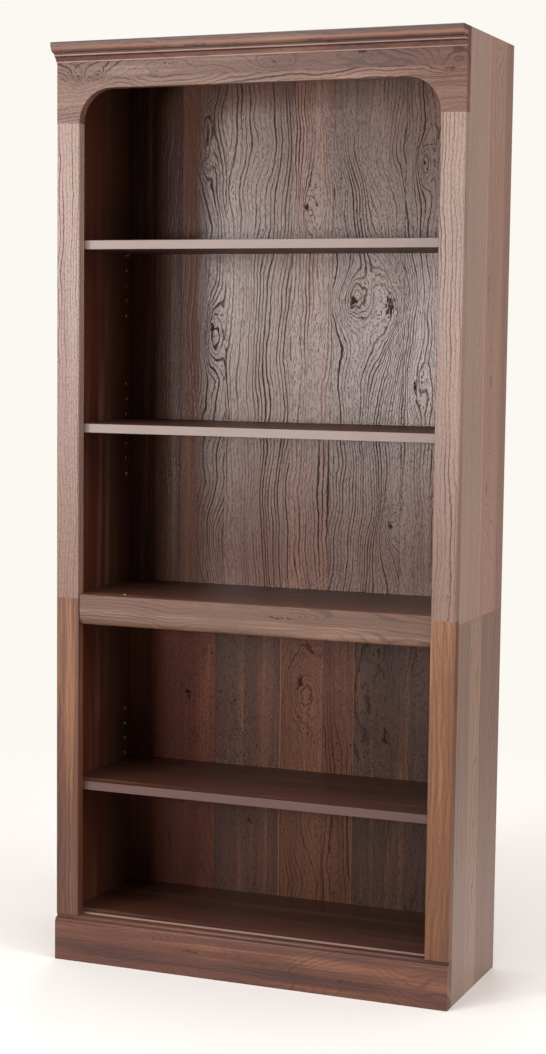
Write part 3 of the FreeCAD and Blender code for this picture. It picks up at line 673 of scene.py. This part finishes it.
rim_tree = bpy.data.node_groups.new("rings_on_points", "GeometryNodeTree")
rim_tree.interface.new_socket(name="Geometry", in_out="INPUT", socket_type="NodeSocketGeometry")
inner_socket = rim_tree.interface.new_socket(name="Ring radius", in_out="INPUT", socket_type="NodeSocketFloat")
band_socket = rim_tree.interface.new_socket(name="Band width", in_out="INPUT", socket_type="NodeSocketFloat")
proud_socket = rim_tree.interface.new_socket(
    name="Height above panel", in_out="INPUT", socket_type="NodeSocketFloat")
seed_socket = rim_tree.interface.new_socket(name="Seed", in_out="INPUT", socket_type="NodeSocketInt")
paint_socket = rim_tree.interface.new_socket(name="Material", in_out="INPUT", socket_type="NodeSocketMaterial")
rim_tree.interface.new_socket(name="Geometry", in_out="OUTPUT", socket_type="NodeSocketGeometry")


def rim_node(kind, settings=None, **links):
    made = rim_tree.nodes.new(kind)
    for key, value in (settings or {}).items():
        setattr(made, key, value)
    for key, value in links.items():
        socket = made.inputs[key.replace("_", " ")]
        if isinstance(value, bpy.types.NodeSocket):
            rim_tree.links.new(value, socket)
        else:
            socket.default_value = value
    return made


given = rim_tree.nodes.new("NodeGroupInput").outputs
circle = rim_node("GeometryNodeCurvePrimitiveCircle", {"mode": "RADIUS"},
                  Resolution=20, Radius=given["Ring radius"])
section = rim_node("GeometryNodeCurvePrimitiveQuadrilateral", {"mode": "RECTANGLE"},
                   Width=given["Band width"], Height=given["Height above panel"])
swept = rim_node("GeometryNodeCurveToMesh", Curve=circle.outputs[0], Profile_Curve=section.outputs[0])
spin = rim_tree.nodes.new("FunctionNodeRandomValue")
spin.data_type = "FLOAT_VECTOR"
rim_tree.links.new(given["Seed"], spin.inputs["Seed"])
spin.inputs[0].default_value = (0.0, math.pi / 2, 0.0)
spin.inputs[1].default_value = (math.pi, math.pi / 2, 0.0)
placed = rim_node("GeometryNodeInstanceOnPoints", Points=given["Geometry"], Instance=swept.outputs[0],
                  Rotation=spin.outputs[0])
real = rim_node("GeometryNodeRealizeInstances", Geometry=placed.outputs[0])
painted = rim_node("GeometryNodeSetMaterial", Geometry=real.outputs[0], Material=given["Material"])
rim_out = rim_tree.nodes.new("NodeGroupOutput")
rim_tree.links.new(painted.outputs[0], rim_out.inputs[0])

point_mesh = bpy.data.meshes.new("rim_points")
point_mesh.from_pydata(rim_points, [], [])
point_object = bpy.data.objects.new("rim_points", point_mesh)
bpy.context.scene.collection.objects.link(point_object)
grower = point_object.modifiers.new("rings", "NODES")
grower.node_group = rim_tree
grower[inner_socket.identifier] = (RIM_INNER + RIM_OUTER) / 2
grower[band_socket.identifier] = RIM_OUTER - RIM_INNER
grower[proud_socket.identifier] = RIM_PROUD
grower[seed_socket.identifier] = 7
grower[paint_socket.identifier] = rim_material
bpy.context.view_layer.update()
grown = point_object.evaluated_get(bpy.context.evaluated_depsgraph_get())
rim_mesh = bpy.data.meshes.new_from_object(grown)
rim_mesh.name = "pin_hole_rims"
bpy.data.objects.remove(point_object)
shell = bmesh.new()
shell.from_mesh(rim_mesh)
bmesh.ops.recalc_face_normals(shell, faces=shell.faces)
shell.to_mesh(rim_mesh)
shell.free()
pin_hole_rims = bpy.data.objects.new("pin_hole_rims", rim_mesh)
bpy.context.scene.collection.objects.link(pin_hole_rims)
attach(pin_hole_rims, "carcass")
reach = [max(abs(v.co[axis]) for v in rim_mesh.vertices) / MM for axis in range(3)]
nearest = min(abs(v.co.x) for v in rim_mesh.vertices) / MM
print("rims hold", len(rim_mesh.polygons), "faces, stand", round(inner_x / MM - nearest, 3), "mm proud", reach)

# %% [markdown]
# ## Softened edges
#
# Sawn boards never meet in a perfect corner: laminate is eased and foil turns over a small radius, so
# every edge catches a thread of light and every joint shows a fine dark line. A Bevel modifier does
# this without touching the frame's mesh. The frame's triangles are loose, so Weld joins them first.

# %% Ease the edges
BOARD_ENDINGS = ("upper", "lower", "middle", "board", "panel", "shelf", "rail", "moulding")
EASE_WIDTH = 0.45 * MM
WELD_REACH = 0.01 * MM
SHARPEST_KEPT = math.radians(40)
EASED = [name for name in nodes if name.split("_")[-1] in BOARD_ENDINGS]
for name in EASED:
    weld = nodes[name].modifiers.new("join_triangles", "WELD")
    weld.merge_threshold = WELD_REACH
    ease = nodes[name].modifiers.new("ease_edges", "BEVEL")
    ease.width = EASE_WIDTH
    ease.segments = 2
    ease.limit_method = "ANGLE"
    ease.angle_limit = SHARPEST_KEPT
print("eased", len(EASED), "nodes")

# %% [markdown]
# ## The studio
#
# A pale sweep with soft light. The floor fades into the white backdrop, so no horizon shows. The key
# stands in front and well to the left, which lights the right-hand part of the back and leaves the
# left-hand corner in shade. Beside it a small strip is placed where the glossy back mirrors it, so
# the sheen falls on the second bay only. A fill on the right lights the outer side, one light stands
# behind for views of the back, and an overhead one lights the floor.

# %% Floor
floor_mesh = bpy.data.meshes.new("studio_floor")
FLOOR_HALF = 4.0
FADE_STARTS, FADE_ENDS = 0.9, 2.6
floor_corners = [(-FLOOR_HALF, -FLOOR_HALF, 0), (FLOOR_HALF, -FLOOR_HALF, 0),
                 (FLOOR_HALF, FLOOR_HALF, 0), (-FLOOR_HALF, FLOOR_HALF, 0)]
floor_mesh.from_pydata(floor_corners, [], [(0, 1, 2, 3)])
floor = bpy.data.objects.new("studio_floor", floor_mesh)
bpy.context.scene.collection.objects.link(floor)
floor_finish = Finish("studio_floor_paint")
distance = (floor_finish.x * floor_finish.x + floor_finish.y * floor_finish.y).power(0.5)
paint = floor_finish.node("ShaderNodeBsdfDiffuse", sockets={"Color": rgb(230, 226, 223)})
clear = floor_finish.node("ShaderNodeBsdfTransparent")
fade = distance.ease(FADE_STARTS, FADE_ENDS)
blend = floor_finish.node("ShaderNodeMixShader", sockets={0: fade, 1: paint.outputs[0], 2: clear.outputs[0]})
floor_finish.node("ShaderNodeOutputMaterial", sockets={"Surface": blend.outputs[0]})
floor_mesh.materials.append(floor_finish.material)

# %% Backdrop and soft lights
world = bpy.data.worlds.new("studio_world")
bpy.context.scene.world = world
world.use_nodes = True
world.node_tree.nodes.clear()
seen = world.node_tree.nodes.new("ShaderNodeBackground")
seen.inputs["Color"].default_value = rgb(252, 248, 242)
seen.inputs["Strength"].default_value = 1.0
lit = world.node_tree.nodes.new("ShaderNodeBackground")
lit.inputs["Color"].default_value = rgb(250, 246, 242)
lit.inputs["Strength"].default_value = 0.28
path = world.node_tree.nodes.new("ShaderNodeLightPath")
choose = world.node_tree.nodes.new("ShaderNodeMixShader")
world_out = world.node_tree.nodes.new("ShaderNodeOutputWorld")
world.node_tree.links.new(path.outputs["Is Camera Ray"], choose.inputs[0])
world.node_tree.links.new(lit.outputs[0], choose.inputs[1])
world.node_tree.links.new(seen.outputs[0], choose.inputs[2])
world.node_tree.links.new(choose.outputs[0], world_out.inputs["Surface"])


def soft_light(name, place, target, width, height, watts, colour=(1.0, 1.0, 1.0)):
    data = bpy.data.lights.new(name, "AREA")
    data.shape = "RECTANGLE"
    data.size = width
    data.size_y = height
    data.energy = watts
    data.color = colour
    lamp = bpy.data.objects.new(name, data)
    lamp.location = place
    lamp.rotation_euler = (Vector(target) - Vector(place)).to_track_quat("-Z", "Y").to_euler()
    bpy.context.scene.collection.objects.link(lamp)
    return lamp


soft_light("key_left", (-2.0, -3.4, 1.5), (0.0, 0.0, 1.25), 0.8, 1.2, 77.0, (1.0, 0.98, 0.96))
soft_light("sheen_strip", (-0.88, -3.7, 1.22), (0.2, 0.1, 1.25), 0.55, 0.42, 46.0, (0.98, 0.98, 1.0))
soft_light("fill_right", (3.9, -0.95, 1.5), (0.4, 0.0, 1.1), 1.2, 2.2, 105.0, (1.0, 0.97, 0.95))
soft_light("behind", (-1.2, 3.6, 1.8), (0.0, 0.2, 0.9), 1.6, 1.6, 60.0)
soft_light("overhead", (0.0, -0.6, 4.4), (0.0, 0.0, 0.0), 3.5, 3.5, 165.0)

# %% [markdown]
# ## The camera
#
# A long lens, a little above mid-height and to the right, looking slightly down. The picture is
# upright, so the sensor's longer side is the picture's height. The small shift frames the object
# without tilting the camera further.

# %% Camera
LENS_MM = 73.91
SHIFT = (0.0454, 0.0339)
CAMERA_PLACE = (1.5964, -4.0597, 1.3088)
PAN, TILT, ROLL = (math.radians(angle) for angle in (22.823, 6.213, 0.542))
camera_data = bpy.data.cameras.new("studio_camera")
camera_data.sensor_fit = "AUTO"
camera_data.sensor_width = 36.0
camera_data.lens = LENS_MM
camera_data.shift_x, camera_data.shift_y = SHIFT
camera = bpy.data.objects.new("studio_camera", camera_data)
level_to_tilt = Matrix.Rotation(math.pi / 2 - TILT, 4, "X")
turn = Matrix.Rotation(PAN, 4, "Z") @ level_to_tilt @ Matrix.Rotation(ROLL, 4, "Z")
camera.matrix_world = Matrix.Translation(CAMERA_PLACE) @ turn
bpy.context.scene.collection.objects.link(camera)
bpy.context.scene.camera = camera
bpy.context.scene.view_settings.view_transform = "Standard"
print("camera stands", round(Vector(CAMERA_PLACE).length, 2), "m away")
